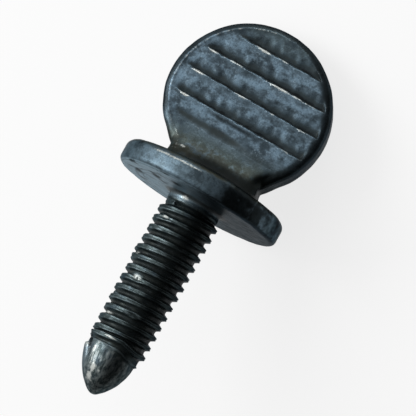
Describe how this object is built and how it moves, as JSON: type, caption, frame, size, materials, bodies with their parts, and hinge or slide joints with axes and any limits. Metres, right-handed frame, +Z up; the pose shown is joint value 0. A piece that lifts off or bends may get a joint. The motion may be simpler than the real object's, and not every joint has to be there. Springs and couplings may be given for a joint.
{
  "type": "thumb screw",
  "caption": "Shouldered thumb screw with a round grooved grip blade, a waisted neck, a flat-seated flange and a coarse thread ending in a bullet point.",
  "frame": {"origin": "under the centre of the lying screw's box, on the floor", "axes": "+Z up; +X along the lying screw towards the blade's crown, with the thread's tip towards -X and raised; +Y across the blade"},
  "size_m": [0.0486, 0.0224, 0.0233],
  "materials": {
    "dark_steel": "dark zinc-plated forged steel, dull and mottled, worn pale along its edges"
  },
  "bodies": {
    "root": {"thumb_screw": "dark_steel"}
  },
  "joints": []
}
